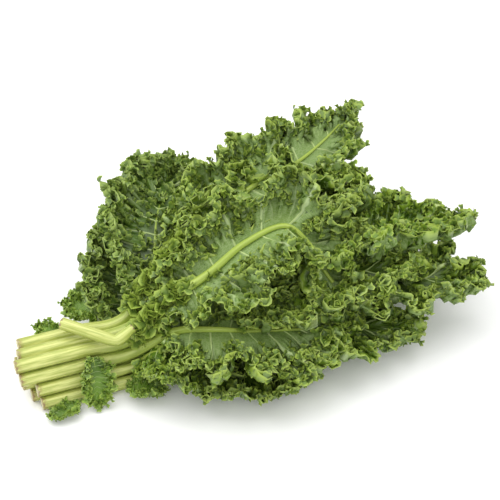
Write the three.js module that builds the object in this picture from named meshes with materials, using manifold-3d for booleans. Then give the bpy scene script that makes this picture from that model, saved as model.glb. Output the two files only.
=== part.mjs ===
// A bunch of curly kale lying on its side: fourteen leaves, each a pale stem that runs on as the
// midrib under a green blade with a ruffled margin, a snapped piece of stem across the top of the
// bundle, and the small leaflets that grow low on the stems.
// Millimetres, +Z up, resting on Z = 0. +X runs from the cut ends towards the leaf tips.
import * as THREE from "three";
import { mergeVertices } from "three/addons/utils/BufferGeometryUtils.js";
import Module from "manifold-3d";

// Driving dimensions of the stems
const STEM_RADIUS = 5.8;
const RIB_TIP_RADIUS = 1.0;
const LEAFLET_RIB = 1.2; // radius of a leaflet's own rib
const STEM_SIDES = 6;
const STEM_STEP = 30; // between rings
const RIB_END = 0.94; // where the midrib fades out, as a share of the leaf's length
const CUT_END = new THREE.Vector3(-188, 24, 0); // middle of the bundle's cut end, on the table
const NECK = new THREE.Vector3(-88, -6, 0); // middle of the bundle where the leaves part

const MIDDLE = new THREE.Vector3(16, 3, 0); // middle of the whole bunch, which is its origin

// Driving dimensions of the blades
const BLADE_THICKNESS = 0.9;
const CLEARANCE = 0.35; // between any two pieces
const FLOOR_SOFTNESS = 6; // height over which a blade eases down onto the table
const BLADE_END = 0.985; // where the last side veins leave the midrib
const FULL_WIDTH = 70; // half width of a blade whose ruffles are full size
const LOBES = 7; // large folds along each side of a blade
const LOBE_HEIGHT = 10;
const LOBE_DEPTH = 0.1; // how far the notches between lobes cut in, as a share of the width
const PLEATS = 14; // small ruffles along each side of a blade
const PLEAT_HEIGHT = 4.5;
const TEETH_PER_PLEAT = 1.5;
const TOOTH_DEPTH = 0.05; // how far the teeth of the margin stand out, as a share of the width
const CURL_STEPS = 8;
const CUT_DETAILS = [0.15, 0.1, 0.2, 0.06, 0.03]; // how closely a cut piece keeps its surface
const CUT_LIFTS = [0, 0.05, 0.1, 0.15, 0.2];
const MOST_OVERLAP = 0.005; // in cubic millimetres
const GRID = 0.002; // step of the grid that the vertices lie on
const SMALL_WIDTH = 45; // half width below which a blade has fewer folds
// The folds along each side of a blade, and its rows from the midrib out: place, and steps round
// the whole blade
const LARGE = {
  lobes: LOBES,
  pleats: PLEATS,
  rows: [
    [0, 8],
    [0.45, 28],
    [1, 56],
  ],
};
const SMALL = {
  lobes: 3,
  pleats: 7.5,
  rows: [
    [0, 4],
    [0.5, 12],
    [1, 30],
  ],
};

// Colours
const STEM_COLOUR = 0xc3cf78;
const BLADE_COLOUR = 0x5d8a38;
const UNDERSIDE_COLOUR = 0x7d9c62;
const LEAFLET_COLOUR = 0x6f9a3c;
const STEM_ROUGHNESS = 0.45;
const BLADE_ROUGHNESS = 0.6;

const UP = new THREE.Vector3(0, 0, 1);
const DOWN = new THREE.Vector3(0, 0, -1);
const ACROSS = new THREE.Vector3()
  .subVectors(NECK, CUT_END)
  .normalize()
  .cross(UP)
  .negate(); // to the left of the stems

// Each leaf: its place in the bundle (across, up), how far its cut end is set back, the points that
// its stem and midrib pass after the neck, where the blade starts along it, the blade's half width,
// which way its upper face looks, how far each half bends towards that face (radians, left and
// right), how far the margin curls, and the roll about its midrib at the start and the tip.
const leaves = [
  {
    name: "leaf_01", slot: [-18.3, 5], back: 8, width: 54, start: 0.5,
    path: [[-60, -38, 7], [-22, -70, 9], [10, -98, 8]],
    face: UP, cup: [-0.1, 0], curl: 0.7, floor: 6, ruffle: 0.5, roll: [-0.1, 0.1],
  },
  {
    name: "leaf_02", slot: [-6.1, 5], back: 2, width: 64, start: 0.4,
    path: [[-20, -32, 12], [52, -80, 24], [106, -116, 22]],
    face: UP, cup: [0, -0.2], curl: 0.7, floor: 0, ruffle: 0.5, roll: [0, 0],
  },
  {
    name: "leaf_03", slot: [0, 15.6], back: -4, width: 60, start: 0.44,
    path: [[4, -20, 32], [84, -62, 48], [144, -100, 48], [180, -124, 42]],
    face: UP, cup: [0.3, -0.3], curl: 0.9, floor: 12, ruffle: 0.7, roll: [0, -0.1],
  },
  {
    name: "leaf_04", slot: [6.1, 5], back: 4, width: 68, start: 0.42,
    path: [[10, 4, 18], [104, 2, 36], [184, -14, 34]],
    face: UP, cup: [-0.15, 0.05], curl: 0.7, floor: 7, ruffle: 0.5, roll: [0, 0],
  },
  {
    name: "leaf_05", slot: [18.3, 5], back: -2, width: 66, start: 0.42,
    path: [[-16, 32, 8], [60, 84, 18], [134, 126, 42]],
    face: UP, cup: [0.1, -0.05], curl: 0.7, floor: 0, ruffle: 0.5, roll: [0, 0.1],
  },
  {
    name: "leaf_06", slot: [-6.1, 26.2], back: -6, width: 58, start: 0.46,
    path: [[-68, -29, 50], [-45, -52, 57], [-17, -68, 52], [44, -98, 44]],
    face: DOWN, cup: [0.5, -0.2], curl: -1.0, floor: 12, ruffle: 0.8, roll: [0, 0],
  },
  {
    name: "leaf_07", slot: [6.1, 26.2], back: 0, width: 62, start: 0.44,
    path: [[-16, -22, 48], [66, -58, 62], [132, -88, 58]],
    face: UP, cup: [0.3, -0.2], curl: 0.9, floor: 22, ruffle: 0.8, roll: [0, 0],
  },
  {
    name: "leaf_08", slot: [12.2, 15.6], back: 5, width: 60, start: 0.46,
    path: [[6, -2, 40], [110, -36, 66], [204, -78, 62]],
    face: UP, cup: [0, 0.1], curl: 0.9, floor: 22, ruffle: 0.8, roll: [0, -0.3],
  },
  {
    name: "leaf_09", slot: [24.4, 15.6], back: -4, width: 54, start: 0.5,
    path: [[-74, 34, 26], [-60, 66, 38], [-42, 96, 42]],
    face: UP, cup: [0.3, 0.1], curl: 0.9, floor: 8, ruffle: 0.7, roll: [0.1, 0.1],
  },
  {
    name: "leaf_10", slot: [-12.2, 15.6], back: 6, width: 34, start: 0.62,
    path: [[-88, -26, 33], [-78, -42, 34], [-68, -58, 20]],
    face: UP, cup: [-0.3, -0.4], curl: 0.6, floor: 0, ruffle: 0.5, roll: [0, -0.3],
  },
  {
    name: "leaf_11", slot: [12.2, 36.8], back: -3, width: 66, start: 0.44,
    path: [[-14, 0, 74], [66, 6, 88], [136, -6, 84]],
    face: UP, cup: [0.1, -0.1], curl: 1.3, floor: 34, ruffle: 1, roll: [0, 0],
  },
  {
    name: "leaf_12", slot: [18.3, 26.2], back: 3, width: 62, start: 0.44,
    path: [[-52, 36, 56], [-8, 90, 70], [38, 132, 64]],
    face: UP, cup: [0.1, 0.1], curl: 1.053, floor: 20, ruffle: 0.7744, roll: [0.1, 0.2],
  },
  {
    name: "leaf_13", slot: [0, 36.8], back: -8, width: 54, start: 0.48,
    path: [
      [-60, -12, 70], [-27, -22, 91], [8, -23, 106], [42, -35, 117], [54, -50, 104], [62, -68, 76],
      [70, -86, 56],
    ],
    face: DOWN, cup: [0.1, -0.5], curl: -0.9, floor: 30, ruffle: 0.8, roll: [0, 0],
  },
  {
    name: "leaf_14", slot: [24.4, 36.8], back: 0, width: 54, start: 0.48,
    path: [[-40, 22, 82], [56, 34, 106], [108, 38, 106], [153, 55, 100], [206, 84, 88]],
    face: DOWN, cup: [0.1, 0.2], curl: -0.9, floor: 34, ruffle: 0.8, roll: [0, 0.3],
  },
];

// The leaflets that grow low on the stems, each with the points of its rib from the stem outwards.
const leaflets = [
  {
    name: "leaflet_01", width: 16, path: [[-137, -3, 38], [-141, -13, 24], [-147, -22, 5]],
    face: UP, cup: [0.1, 0.1], curl: 0.5, ruffle: 0.5, floor: 0, roll: [-0.3, -0.3],
  },
  {
    name: "leaflet_02", width: 10, path: [[-160, -13, 5], [-172, -15, 4], [-186, -13, 3]],
    face: UP, cup: [0.1, 0.1], curl: 0.5, ruffle: 0.3, floor: 0, roll: [0, 0],
  },
  {
    name: "leaflet_03", width: 14, path: [[-120, -27, 8], [-108, -34, 8], [-95, -42, 5]],
    face: UP, cup: [0.1, 0.1], curl: 0.5, ruffle: 0.4, floor: 0, roll: [0, 0],
  },
  {
    name: "leaflet_04", width: 20, path: [[-92, 46, 22], [-100, 62, 26], [-112, 76, 22]],
    face: UP, cup: [0.2, 0.2], curl: 0.7, ruffle: 0.6, floor: 0, roll: [-0.4, -0.4],
  },
  {
    name: "leaflet_05", width: 9, path: [[-140, 46, 26], [-147, 55, 30], [-154, 62, 30]],
    face: UP, cup: [0.1, 0.1], curl: 0.4, ruffle: 0.3, floor: 0, roll: [0, 0],
  },
];

// The snapped piece of stem, which lies over the bundle with a kink near one end.
const snapped = {
  name: "snapped_stem", radius: 5.2,
  path: [[-144, 34, 53], [-132, 14, 52.5], [-120, -6, 52], [-116, -10, 52], [-100, -10, 57]],
};

const wasm = await Module();
wasm.setup();

const mix = (a, b, share) => a + (b - a) * share;
const ease = (low, high, x) => THREE.MathUtils.smoothstep(x, low, high);

// A smooth uneven wave between about -1 and 1, different for each seed.
function wobble(x, seed) {
  return (
    0.5 * Math.sin(1.7 * x + 2.3 * seed) +
    0.3 * Math.sin(3.1 * x + 4.7 * seed) +
    0.2 * Math.sin(5.3 * x + 1.9 * seed)
  );
}

// Eases what would sink through the table, or the leaves below, down onto it.
function settle(z, floor) {
  const above = z - floor - FLOOR_SOFTNESS;
  return above >= 0 ? z : floor + FLOOR_SOFTNESS * Math.exp(above / FLOOR_SOFTNESS);
}

// The stem and midrib as one curve from the cut end to the tip.
function midline(leaf) {
  const [across, up] = leaf.slot;
  const along = new THREE.Vector3().subVectors(NECK, CUT_END).normalize();
  const inBundle = (place) =>
    place.clone().addScaledVector(ACROSS, across).addScaledVector(UP, up);
  const points = [
    inBundle(CUT_END.clone().addScaledVector(along, leaf.back)),
    inBundle(NECK.clone().lerp(CUT_END, 0.5)),
    inBundle(NECK.clone().lerp(CUT_END, 0.12)),
    ...leaf.path.map((p) => new THREE.Vector3(...p)),
  ];
  return new THREE.CatmullRomCurve3(points);
}

// The midline's place, direction, facing and side at a share of its length.
function frameAt(leaf, share) {
  const at = leaf.curve.getPointAt(share);
  const along = leaf.curve.getTangentAt(share);
  const facing = leaf.face.clone().addScaledVector(along, -leaf.face.dot(along)).normalize();
  const blade = Math.max(0, (share - leaf.start) / (1 - leaf.start));
  facing.applyAxisAngle(along, mix(leaf.roll[0], leaf.roll[1], blade));
  const side = new THREE.Vector3().crossVectors(facing, along);
  return { at, along, facing, side };
}

function ribRadius(leaf, share) {
  const thin = ease(leaf.start * 0.55, 1, share);
  return mix(leaf.radius, RIB_TIP_RADIUS, Math.pow(thin, 0.62));
}

function closed(positions, index) {
  const geometry = new THREE.BufferGeometry();
  geometry.setAttribute("position", new THREE.Float32BufferAttribute(positions, 3));
  geometry.setIndex(index);
  return geometry;
}

// A closed tube from rings of points and its two end caps.
function tubeGeometry(rings) {
  const sides = rings[0].length;
  const positions = rings.flat().flatMap((p) => [p.x, p.y, p.z]);
  const index = [];
  for (let i = 0; i + 1 < rings.length; i++) {
    for (let k = 0; k < sides; k++) {
      const a = i * sides + k;
      const b = i * sides + ((k + 1) % sides);
      index.push(a, b, b + sides, a, b + sides, a + sides);
    }
  }
  const last = (rings.length - 1) * sides;
  for (let k = 1; k + 1 < sides; k++) {
    index.push(0, k + 1, k, last, last + k, last + k + 1);
  }
  return closed(positions, index);
}

// A ring round a point of a curve, cut off flat where it meets the table.
function ringAt({ at, facing, side }, radius) {
  const ring = [];
  for (let k = 0; k < STEM_SIDES; k++) {
    const angle = (2 * Math.PI * k) / STEM_SIDES;
    const p = at
      .clone()
      .addScaledVector(side, radius * Math.cos(angle))
      .addScaledVector(facing, radius * Math.sin(angle));
    p.z = Math.max(p.z, 0);
    ring.push(p);
  }
  return ring;
}

function stemGeometry(leaf, extra) {
  const steps = Math.round((leaf.curve.getLength() * RIB_END) / STEM_STEP);
  const rings = [];
  for (let i = 0; i <= steps; i++) {
    const share = (RIB_END * i) / steps;
    rings.push(ringAt(frameAt(leaf, share), ribRadius(leaf, share) + extra));
  }
  return tubeGeometry(rings);
}

// The snapped stem as straight lengths between its points.
function snappedGeometry(radius) {
  const points = snapped.path.map((p) => new THREE.Vector3(...p));
  const rings = points.map((at, i) => {
    const ahead = points[Math.min(i + 1, points.length - 1)];
    const behind = points[Math.max(i - 1, 0)];
    const along = new THREE.Vector3().subVectors(ahead, behind).normalize();
    const facing = UP.clone().addScaledVector(along, -UP.dot(along)).normalize();
    return ringAt({ at, facing, side: new THREE.Vector3().crossVectors(facing, along) }, radius);
  });
  return tubeGeometry(rings);
}

// The share of the midline where the side vein of a turn leaves it.
const veinRoot = (leaf, u) => mix(leaf.start, BLADE_END, Math.pow(u, 0.9));

// The blade before its ruffles: turn runs 0 to 2 from the base, round the tip and back on the
// other side; out runs 0 to 1 from the midrib to the margin, along the side veins.
function plainBlade(leaf, turn, out) {
  const isLeft = turn <= 1;
  const u = isLeft ? turn : 2 - turn;
  const share = veinRoot(leaf, u);
  const { at, along, facing, side } = frameAt(leaf, share);
  const veinAngle = 1.75 * Math.pow(1 - u, 0.62);
  const direction = along
    .clone()
    .multiplyScalar(Math.cos(veinAngle))
    .addScaledVector(side, (isLeft ? 1 : -1) * Math.sin(veinAngle));
  const fullness = mix(0.34, 1, ease(0, 0.3, u)) * mix(1, 0.5, ease(0.55, 1, u));
  const lobe = LOBE_DEPTH * Math.cos(2 * Math.PI * leaf.detail.lobes * u + leaf.seed);
  const teeth = TEETH_PER_PLEAT * leaf.detail.pleats;
  const tooth = TOOTH_DEPTH * Math.cos(2 * Math.PI * teeth * u) * ease(0.7, 1, out);
  const length = leaf.width * fullness * (1 + lobe + tooth);
  const cup = leaf.cup[isLeft ? 0 : 1] * (1 + 0.5 * wobble(6 * u, leaf.seed));
  const curl = leaf.curl * (1 + 0.35 * wobble(11 * turn, leaf.seed + 3));
  let reach = 0;
  let rise = 0;
  for (let i = 0; i < CURL_STEPS; i++) {
    const t = (out * (i + 0.5)) / CURL_STEPS;
    const bend = cup * ease(0.08, 0.6, t) + curl * ease(0.35, 1, t);
    reach += (Math.cos(bend) * length * out) / CURL_STEPS;
    rise += (Math.sin(bend) * length * out) / CURL_STEPS;
  }
  const lift = ribRadius(leaf, share) + BLADE_THICKNESS / 2 + CLEARANCE;
  return at.addScaledVector(direction, reach).addScaledVector(facing, rise + lift);
}

// The way that a surface faces at a point, from its near neighbours.
function facingOf(surface, turn, out) {
  const step = 0.002;
  const along = surface(Math.min(turn + step, 2), out).sub(surface(Math.max(turn - step, 0), out));
  const outward = surface(turn, out + step).sub(surface(turn, out - step));
  return new THREE.Vector3().crossVectors(along, outward).normalize();
}

// A surface with one more set of ruffles, which grow from the midrib to the margin.
function ruffled(surface, phase, height) {
  return (turn, out) => {
    const size = height(turn, out);
    const p = surface(turn, out);
    if (size === 0) return p;
    return p.addScaledVector(facingOf(surface, turn, out), size * Math.sin(phase(turn)));
  };
}

function bladeSurface(leaf) {
  const plain = (turn, out) => plainBlade(leaf, turn, out);
  const lobed = ruffled(
    plain,
    (turn) => Math.PI * (2 * leaf.detail.lobes * turn + 0.5) + 0.6 * wobble(5 * turn, leaf.seed),
    (turn, out) => LOBE_HEIGHT * leaf.size * ease(0.05, 0.65, out),
  );
  return ruffled(
    lobed,
    (turn) => Math.PI * (2 * leaf.detail.pleats * turn + 0.5),
    (turn, out) => {
      const uneven = 1 + 0.4 * wobble(17 * turn, leaf.seed + 7);
      return PLEAT_HEIGHT * leaf.size * uneven * ease(0.2, 0.9, out);
    },
  );
}

// A blade as a closed sheet: rows of points on both faces, split into triangles alike. A fat one
// is the room that other pieces keep clear of.
function bladeGeometry(leaf, room) {
  const surface = bladeSurface(leaf);
  const { rows } = leaf.detail;
  const middle = [];
  const rowStart = [];
  for (const [out, steps] of rows) {
    rowStart.push(middle.length);
    const count = out === 0 ? steps / 2 + 1 : steps + 1;
    for (let i = 0; i < count; i++) {
      const p = surface((2 * i) / steps, out === 1 ? 1 + room / leaf.width : out);
      p.z = settle(p.z, leaf.floor + BLADE_THICKNESS / 2);
      middle.push(p);
    }
  }
  const inRow = (row, i) => rowStart[row] + (row === 0 ? Math.min(i, rows[0][1] - i) : i);
  const front = [];
  for (let row = 0; row + 1 < rows.length; row++) {
    zip(rows[row][1], rows[row + 1][1], (a, b, isInner) => {
      const [p, q] = [inRow(row, a), inRow(row + 1, b)];
      const next = isInner ? inRow(row, a + 1) : inRow(row + 1, b + 1);
      if (p !== next) front.push([p, next, q]);
    });
  }
  const facings = facingsOf(middle, front);
  const positions = [];
  for (const sign of [0.5, -0.5]) {
    middle.forEach((p, i) => {
      const q = p.clone().addScaledVector(facings[i], sign * (BLADE_THICKNESS + 2 * room));
      positions.push(q.x, q.y, q.z);
    });
  }
  return closed(positions, bothFaces(front, middle.length));
}

// The way that a sheet of triangles faces at each of its points.
function facingsOf(points, triangles) {
  const facings = points.map(() => new THREE.Vector3());
  for (const [a, b, c] of triangles) {
    const ab = new THREE.Vector3().subVectors(points[b], points[a]);
    const ac = new THREE.Vector3().subVectors(points[c], points[a]);
    const facing = ab.cross(ac);
    for (const corner of [a, b, c]) facings[corner].add(facing);
  }
  return facings.map((facing) => facing.normalize());
}

// Walks two rows of different counts together, and calls back once for each triangle.
function zip(inner, outer, triangle) {
  let [a, b] = [0, 0];
  while (a < inner || b < outer) {
    const isInner = b === outer || (a < inner && (a + 1) / inner <= (b + 1) / outer);
    triangle(a, b, isInner);
    if (isInner) a += 1;
    else b += 1;
  }
}

// The front triangles, the same ones turned round on the back, and the strip between their edges.
function bothFaces(front, count) {
  const index = [];
  const edges = new Map();
  for (const [a, b, c] of front) {
    index.push(a, b, c, a + count, c + count, b + count);
    for (const [p, q] of [[a, b], [b, c], [c, a]]) {
      if (edges.delete(`${q},${p}`)) continue;
      edges.set(`${p},${q}`, [p, q]);
    }
  }
  for (const [p, q] of edges.values()) {
    index.push(q, p, p + count, q, p + count, q + count);
  }
  return index;
}

// A geometry as a solid that can be cut, without triangles that have two corners in one place.
function solidOf(geometry) {
  const merged = mergeVertices(geometry.toNonIndexed(), GRID / 10);
  const triVerts = [];
  for (let i = 0; i < merged.index.count; i += 3) {
    const corners = [0, 1, 2].map((k) => merged.index.getX(i + k));
    if (new Set(corners).size === 3) triVerts.push(...corners);
  }
  return new wasm.Manifold(
    new wasm.Mesh({
      numProp: 3,
      vertProperties: merged.attributes.position.array,
      triVerts: new Uint32Array(triVerts),
    }),
  );
}

// A solid as a geometry, its vertices on a fine grid.
function geometryOf(solid) {
  const mesh = solid.getMesh();
  const positions = Array.from(mesh.vertProperties, (x) => Math.round(x / GRID) * GRID);
  return closed(positions, Array.from(mesh.triVerts));
}

// The largest body of a solid, without the scraps that a cut leaves loose.
function largestBody(solid) {
  return solid.decompose().reduce((a, b) => (a.volume() > b.volume() ? a : b));
}

// Whether a body stays whole on the grid, with two triangles at each edge and clear of the others.
function isClean(body, others) {
  const geometry = geometryOf(body);
  const solid = solidOf(geometry);
  const corners = mergeVertices(geometry.toNonIndexed(), GRID / 2).index;
  const edges = new Map();
  for (let i = 0; i < corners.count; i++) {
    const ends = [corners.getX(i), corners.getX(i % 3 === 2 ? i - 2 : i + 1)];
    const key = `${Math.min(...ends)},${Math.max(...ends)}`;
    edges.set(key, (edges.get(key) ?? 0) + 1);
  }
  return (
    [...edges.values()].every((count) => count === 2) &&
    solid.decompose().length === 1 &&
    solid.intersect(others).volume() < MOST_OVERLAP
  );
}

// A solid without what reaches into the room of others, as the first clean body of a few tries,
// each a hair's breadth higher or with its cut edges kept less closely.
function cutClear(piece, placed) {
  if (placed.length === 0) return piece.solid;
  const rooms = wasm.Manifold.union(placed.map((other) => other.room));
  const solids = wasm.Manifold.union(placed.map((other) => other.solid));
  for (const lift of CUT_LIFTS) {
    const roomy = piece.solid.translate([0, 0, lift]).subtract(rooms);
    // Twice, because where two folds of one blade touch, the first cut leaves one of them.
    const cut = roomy.subtract(solids).subtract(solids);
    for (const detail of CUT_DETAILS) {
      const body = largestBody(cut.simplify(detail));
      if (isClean(body, solids)) return body;
    }
  }
  throw new Error(`${piece.name} can't be cut clear`);
}

leaves.forEach((leaf, i) => {
  leaf.seed = i + 1;
  leaf.radius = STEM_RADIUS;
  leaf.detail = leaf.width < SMALL_WIDTH ? SMALL : LARGE;
  leaf.size = leaf.ruffle * Math.min(1, leaf.width / FULL_WIDTH);
  leaf.curve = midline(leaf);
});
leaflets.forEach((leaf, i) => {
  leaf.seed = leaves.length + i + 1;
  leaf.start = 0;
  leaf.radius = LEAFLET_RIB;
  leaf.detail = SMALL;
  leaf.size = leaf.ruffle;
  leaf.curve = new THREE.CatmullRomCurve3(leaf.path.map((p) => new THREE.Vector3(...p)));
});

const pieces = [];

function addPiece(name, color, roughness, solid, room) {
  pieces.push({ name, color, roughness, solid: solidOf(solid), room: solidOf(room) });
}

function addBlade(name, leaf, color) {
  const [sheet, room] = [bladeGeometry(leaf, 0), bladeGeometry(leaf, CLEARANCE)];
  addPiece(name, color, BLADE_ROUGHNESS, sheet, room);
}

for (const leaf of leaves) {
  const [stem, room] = [stemGeometry(leaf, 0), stemGeometry(leaf, CLEARANCE)];
  addPiece(`${leaf.name}_stem`, STEM_COLOUR, STEM_ROUGHNESS, stem, room);
}
addPiece(
  snapped.name,
  STEM_COLOUR,
  STEM_ROUGHNESS,
  snappedGeometry(snapped.radius),
  snappedGeometry(snapped.radius + CLEARANCE),
);
for (const leaf of leaves) {
  const color = leaf.face === UP ? BLADE_COLOUR : UNDERSIDE_COLOUR;
  addBlade(`${leaf.name}_blade`, leaf, color);
}
for (const leaf of leaflets) {
  addBlade(leaf.name, leaf, LEAFLET_COLOUR);
}

const group = new THREE.Group();
pieces.forEach((piece, i) => {
  const body = cutClear(piece, pieces.slice(0, i));
  const material = new THREE.MeshStandardMaterial({
    color: piece.color,
    roughness: piece.roughness,
    metalness: 0,
  });
  const mesh = new THREE.Mesh(geometryOf(body), material);
  mesh.name = piece.name;
  mesh.position.copy(MIDDLE).negate();
  group.add(mesh);
});

export default group;
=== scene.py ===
# %% [markdown]
# # A bunch of curly kale
# Fourteen leaves lie on a table, their pale stems held together at one end. The frame that is loaded
# here holds the plain solid of every stem, blade and leaflet. Each one is made again, finer, at the
# same place: the stems get their ridges and cut ends, and the blades get the tight frills that make
# kale look like kale. All places are in metres, with the bunch along X and up along Z.

import math

import bpy
import numpy as np
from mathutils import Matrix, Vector


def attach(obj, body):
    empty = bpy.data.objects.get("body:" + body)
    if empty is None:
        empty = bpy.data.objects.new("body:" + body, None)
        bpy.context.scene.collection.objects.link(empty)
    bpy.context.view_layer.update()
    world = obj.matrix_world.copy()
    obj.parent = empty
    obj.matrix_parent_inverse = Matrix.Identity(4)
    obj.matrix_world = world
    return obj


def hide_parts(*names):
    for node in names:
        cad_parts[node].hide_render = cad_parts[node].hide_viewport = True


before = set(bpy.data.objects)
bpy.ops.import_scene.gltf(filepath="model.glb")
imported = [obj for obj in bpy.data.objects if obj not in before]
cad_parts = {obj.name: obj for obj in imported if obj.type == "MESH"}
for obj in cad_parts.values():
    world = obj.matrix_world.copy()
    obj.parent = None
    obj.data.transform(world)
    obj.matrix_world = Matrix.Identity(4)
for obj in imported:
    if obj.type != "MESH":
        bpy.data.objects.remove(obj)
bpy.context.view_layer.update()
MM = 0.001  # metres in a millimetre

# %% [markdown]
# ## Where each leaf grows
# A leaf is given by its place in the bundle, the points that its rib passes after the neck, where
# its blade starts and how wide it is. These are the same driving sizes that the solids have, in
# millimetres. `cup` bends the left and right halves towards the upper face, `curl` rolls the margin,
# and `ruffle` says how deep its folds are. A leaf that lies face down shows its underside. Only the
# blades of `leaf_13` and `leaf_14` start nearer to the neck here than on the solids.
#
# `LOOKS` holds what only the fine leaf needs. `tone` names its greens. `flakes` says how densely curls
# cover it, and `smooth` how far from the rib it stays bare, as a share of the half width: one value, or
# three for the foot, middle and tip of the blade. `rim` says how much tighter the left and right margins
# roll than on the solid, and `rib_tip` is the rib's radius at the tip in millimetres.

# %% The leaves and leaflets
UP = (0, 0, 1)
DOWN = (0, 0, -1)
LEAVES = {
    "leaf_01": dict(
        slot=(-18.3, 5), back=8, width=54, start=0.5, face=UP,
        path=[(-60, -38, 7), (-22, -70, 9), (10, -98, 8)],
        cup=(-0.1, 0), curl=0.7, floor=6, ruffle=0.5, roll=(-0.1, 0.1),
    ),
    "leaf_02": dict(
        slot=(-6.1, 5), back=2, width=64, start=0.4, face=UP,
        path=[(-20, -32, 12), (52, -80, 24), (106, -116, 22)],
        cup=(0, -0.2), curl=0.7, floor=0, ruffle=0.5, roll=(0, 0),
    ),
    "leaf_03": dict(
        slot=(0, 15.6), back=-4, width=60, start=0.44, face=UP,
        path=[(4, -20, 32), (84, -62, 48), (144, -100, 48), (180, -124, 42)],
        cup=(0.3, -0.3), curl=0.9, floor=12, ruffle=0.7, roll=(0, -0.1),
    ),
    "leaf_04": dict(
        slot=(6.1, 5), back=4, width=68, start=0.42, face=UP,
        path=[(10, 4, 18), (104, 2, 36), (184, -14, 34)],
        cup=(-0.15, 0.05), curl=0.7, floor=7, ruffle=0.5, roll=(0, 0),
    ),
    "leaf_05": dict(
        slot=(18.3, 5), back=-2, width=66, start=0.42, face=UP,
        path=[(-16, 32, 8), (60, 84, 18), (134, 126, 42)],
        cup=(0.1, -0.05), curl=0.7, floor=0, ruffle=0.5, roll=(0, 0.1),
    ),
    "leaf_06": dict(
        slot=(-6.1, 26.2), back=-6, width=58, start=0.46, face=DOWN,
        path=[(-68, -29, 50), (-45, -52, 57), (-17, -68, 52), (44, -98, 44)],
        cup=(0.5, -0.2), curl=-1.0, floor=12, ruffle=0.8, roll=(0, 0),
    ),
    "leaf_07": dict(
        slot=(6.1, 26.2), back=0, width=62, start=0.44, face=UP,
        path=[(-16, -22, 48), (66, -58, 62), (132, -88, 58)],
        cup=(0.3, -0.2), curl=0.9, floor=22, ruffle=0.8, roll=(0, 0),
    ),
    "leaf_08": dict(
        slot=(12.2, 15.6), back=5, width=60, start=0.46, face=UP,
        path=[(6, -2, 40), (110, -36, 66), (204, -78, 62)],
        cup=(0, 0.1), curl=0.9, floor=22, ruffle=0.8, roll=(0, -0.3),
    ),
    "leaf_09": dict(
        slot=(24.4, 15.6), back=-4, width=54, start=0.5, face=UP,
        path=[(-74, 34, 26), (-60, 66, 38), (-42, 96, 42)],
        cup=(0.3, 0.1), curl=0.9, floor=8, ruffle=0.7, roll=(0.1, 0.1),
    ),
    "leaf_10": dict(
        slot=(-12.2, 15.6), back=6, width=34, start=0.62, face=UP,
        path=[(-88, -26, 33), (-78, -42, 34), (-68, -58, 20)],
        cup=(-0.3, -0.4), curl=0.6, floor=0, ruffle=0.5, roll=(0, -0.3),
    ),
    "leaf_11": dict(
        slot=(12.2, 36.8), back=-3, width=66, start=0.44, face=UP,
        path=[(-14, 0, 74), (66, 6, 88), (136, -6, 84)],
        cup=(0.1, -0.1), curl=1.3, floor=34, ruffle=1, roll=(0, 0),
    ),
    "leaf_12": dict(
        slot=(18.3, 26.2), back=3, width=62, start=0.44, face=UP,
        path=[(-52, 36, 56), (-8, 90, 70), (38, 132, 64)],
        cup=(0.1, 0.1), curl=1.05, floor=20, ruffle=0.8, roll=(0.1, 0.2),
    ),
    "leaf_13": dict(
        slot=(0, 36.8), back=-8, width=54, start=0.36, face=DOWN,
        path=[
            (-60, -12, 70), (-27, -22, 91), (8, -23, 106), (42, -35, 117),
            (54, -50, 104), (62, -68, 76), (70, -86, 56),
        ],
        cup=(0.1, -0.5), curl=-0.9, floor=30, ruffle=0.8, roll=(0, 0),
    ),
    "leaf_14": dict(
        slot=(24.4, 36.8), back=0, width=54, start=0.34, face=DOWN,
        path=[(-40, 22, 82), (56, 34, 106), (108, 38, 106), (153, 55, 100), (206, 84, 88)],
        cup=(0.1, 0.2), curl=-0.9, floor=34, ruffle=0.8, roll=(0, 0.3),
    ),
}
LEAFLETS = {
    "leaflet_01": dict(
        width=16, path=[(-137, -3, 38), (-141, -13, 24), (-147, -22, 5)],
        cup=(0.1, 0.1), curl=0.5, ruffle=0.5, roll=(-0.3, -0.3),
    ),
    "leaflet_02": dict(
        width=10, path=[(-160, -13, 5), (-172, -15, 4), (-186, -13, 3)],
        cup=(0.1, 0.1), curl=0.5, ruffle=0.3, roll=(0, 0),
    ),
    "leaflet_03": dict(
        width=14, path=[(-120, -27, 8), (-108, -34, 8), (-95, -42, 5)],
        cup=(0.1, 0.1), curl=0.5, ruffle=0.4, roll=(0, 0),
    ),
    "leaflet_04": dict(
        width=20, path=[(-92, 46, 22), (-100, 62, 26), (-112, 76, 22)],
        cup=(0.2, 0.2), curl=0.7, ruffle=0.6, roll=(-0.4, -0.4),
    ),
    "leaflet_05": dict(
        width=9, path=[(-140, 46, 26), (-147, 55, 30), (-154, 62, 30)],
        cup=(0.1, 0.1), curl=0.4, ruffle=0.3, roll=(0, 0),
    ),
}
USUAL_LOOK = dict(flakes=1.0, smooth=0.3, rim=(1.45, 1.45), rib_tip=0.9)
LOOKS = {
    "leaf_01": dict(tone="mid", flakes=0.45),
    "leaf_02": dict(tone="mid", flakes=0.45),
    "leaf_03": dict(tone="mid", flakes=0.6),
    "leaf_04": dict(tone="bright", flakes=0.6, smooth=0.2),
    "leaf_05": dict(tone="deep", flakes=0.5, smooth=0.15),
    "leaf_06": dict(tone="mid"),
    "leaf_07": dict(tone="mid", smooth=0.12),
    "leaf_08": dict(tone="bright", smooth=0.18),
    "leaf_09": dict(tone="deep", flakes=0.6, smooth=-0.1),
    "leaf_10": dict(tone="bright"),
    "leaf_11": dict(tone="mid", smooth=0.2),
    "leaf_12": dict(tone="deep", smooth=-0.2),
    "leaf_13": dict(tone="mid", smooth=(0.5, 0.17, 0.55), rim=(0.5, 1.45), rib_tip=1.7),
    "leaf_14": dict(tone="mid", smooth=(0.2, 0.2, 0.5)),
}
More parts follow.
